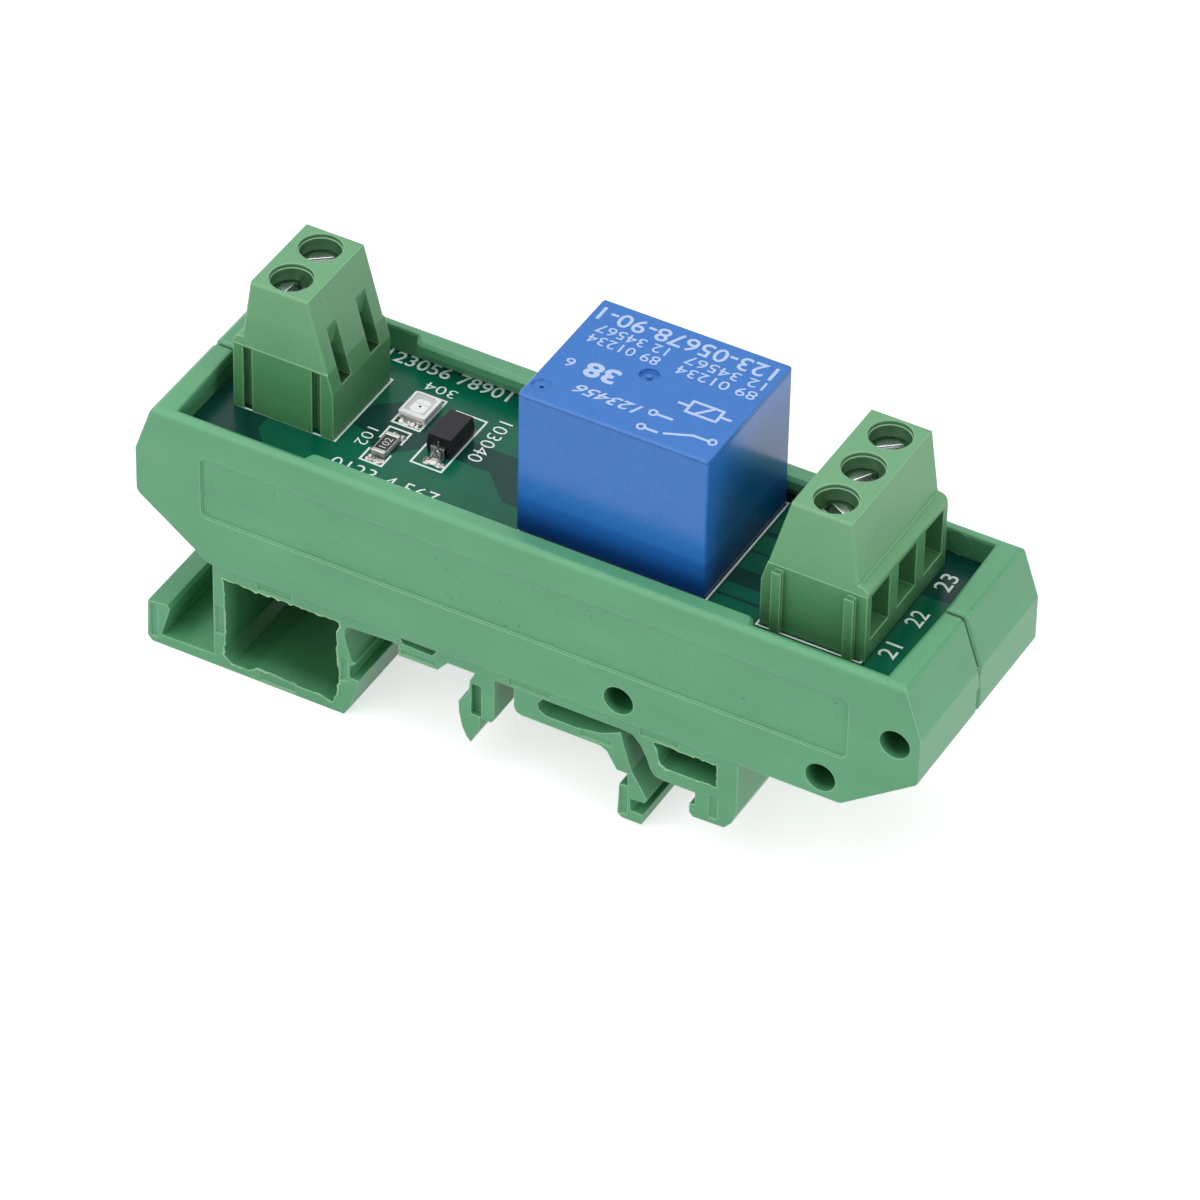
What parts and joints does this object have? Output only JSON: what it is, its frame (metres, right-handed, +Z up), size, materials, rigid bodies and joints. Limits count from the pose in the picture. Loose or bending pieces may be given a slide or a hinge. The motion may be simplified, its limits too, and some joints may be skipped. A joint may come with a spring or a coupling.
{
  "type": "relay module board",
  "caption": "Relay module on a rail-mounting plastic carrier, with screw terminal blocks at both ends.",
  "frame": {"origin": "middle of the bounding box at the underside of the rail foot", "axes": "+X along the carrier from the two-way block to the three-way block, +Z up from the board"},
  "size_m": [0.0798, 0.0226, 0.0408],
  "materials": {
    "carrier_plastic": "moulded, fine satin",
    "terminal_plastic": "moulded, fine satin",
    "board_laminate": "solder mask over glass laminate",
    "relay_plastic": "moulded, satin",
    "dark_plastic": "moulded",
    "white_plastic": "moulded",
    "clear_resin": "clear casting resin",
    "copper_wire": "enamelled winding",
    "soft_iron": "nickel plated",
    "contact_brass": "bare strip",
    "tinned_metal": "tinned",
    "plated_steel": "zinc plated"
  },
  "bodies": {
    "carrier": {"carrier_near": "carrier_plastic", "carrier_far": "carrier_plastic", "circuit_board": "board_laminate", "relay_cover": "relay_plastic", "relay_base": "relay_plastic", "relay_coil_bobbin": "dark_plastic", "relay_coil_winding": "copper_wire", "relay_core": "soft_iron", "relay_yoke": "soft_iron", "relay_upper_contact": "contact_brass", "relay_lower_contact": "contact_brass", "relay_coil_pins": "tinned_metal", "input_terminal_housing": "terminal_plastic", "output_terminal_housing": "terminal_plastic", "indicator_body": "white_plastic", "indicator_lens": "clear_resin", "indicator_leads": "tinned_metal", "resistor_body": "dark_plastic", "resistor_end_caps": "tinned_metal", "diode_body": "dark_plastic", "diode_leads": "tinned_metal", "solder_cones": "tinned_metal", "input_contact_bar_1": "tinned_metal", "input_contact_bar_2": "tinned_metal", "output_contact_bar_1": "tinned_metal", "output_contact_bar_2": "tinned_metal", "output_contact_bar_3": "tinned_metal"},
    "input_screw_1_body": {"input_screw_1": "plated_steel"},
    "input_clamp_1_body": {"input_clamp_cage_1": "plated_steel"},
    "input_screw_2_body": {"input_screw_2": "plated_steel"},
    "input_clamp_2_body": {"input_clamp_cage_2": "plated_steel"},
    "output_screw_1_body": {"output_screw_1": "plated_steel"},
    "output_clamp_1_body": {"output_clamp_cage_1": "plated_steel"},
    "output_screw_2_body": {"output_screw_2": "plated_steel"},
    "output_clamp_2_body": {"output_clamp_cage_2": "plated_steel"},
    "output_screw_3_body": {"output_screw_3": "plated_steel"},
    "output_clamp_3_body": {"output_clamp_cage_3": "plated_steel"},
    "armature_body": {"relay_armature": "soft_iron", "relay_moving_contact": "contact_brass"}
  },
  "joints": [
    {"name": "input_screw_1_turn", "type": "hinge", "parent": "carrier", "child": "input_screw_1_body", "pos_m": [-0.02914, 0.00353, 0.0371], "axis": [0, 0, -1], "range_deg": [0, 1660]},
    {"name": "input_clamp_1_lift", "type": "slide", "parent": "carrier", "child": "input_clamp_1_body", "axis": [0, 0, 1], "range_m": [0, 0.0023]},
    {"name": "input_screw_2_turn", "type": "hinge", "parent": "carrier", "child": "input_screw_2_body", "pos_m": [-0.02914, -0.00153, 0.0371], "axis": [0, 0, -1], "range_deg": [0, 1660]},
    {"name": "input_clamp_2_lift", "type": "slide", "parent": "carrier", "child": "input_clamp_2_body", "axis": [0, 0, 1], "range_m": [0, 0.0023]},
    {"name": "output_screw_1_turn", "type": "hinge", "parent": "carrier", "child": "output_screw_1_body", "pos_m": [0.02728, -0.00436, 0.0371], "axis": [0, 0, -1], "range_deg": [0, 1660]},
    {"name": "output_clamp_1_lift", "type": "slide", "parent": "carrier", "child": "output_clamp_1_body", "axis": [0, 0, 1], "range_m": [0, 0.0023]},
    {"name": "output_screw_2_turn", "type": "hinge", "parent": "carrier", "child": "output_screw_2_body", "pos_m": [0.02728, 0.0007, 0.0371], "axis": [0, 0, -1], "range_deg": [0, 1660]},
    {"name": "output_clamp_2_lift", "type": "slide", "parent": "carrier", "child": "output_clamp_2_body", "axis": [0, 0, 1], "range_m": [0, 0.0023]},
    {"name": "output_screw_3_turn", "type": "hinge", "parent": "carrier", "child": "output_screw_3_body", "pos_m": [0.02728, 0.00576, 0.0371], "axis": [0, 0, -1], "range_deg": [0, 1660]},
    {"name": "output_clamp_3_lift", "type": "slide", "parent": "carrier", "child": "output_clamp_3_body", "axis": [0, 0, 1], "range_m": [0, 0.0023]},
    {"name": "relay_armature_swing", "type": "hinge", "parent": "carrier", "child": "armature_body", "pos_m": [-0.00135, 0.00105, 0.03685], "axis": [0, 1, 0], "range_deg": [0, 2.8], "stiffness_Nm_per_rad": 0.004, "springref_deg": -8.59}
  ],
  "couplings": [
    {"joint": "input_screw_1_turn", "follows": "input_clamp_1_lift", "rad_per_m": 12566},
    {"joint": "input_screw_2_turn", "follows": "input_clamp_2_lift", "rad_per_m": 12566},
    {"joint": "output_screw_1_turn", "follows": "output_clamp_1_lift", "rad_per_m": 12566},
    {"joint": "output_screw_2_turn", "follows": "output_clamp_2_lift", "rad_per_m": 12566},
    {"joint": "output_screw_3_turn", "follows": "output_clamp_3_lift", "rad_per_m": 12566}
  ]
}
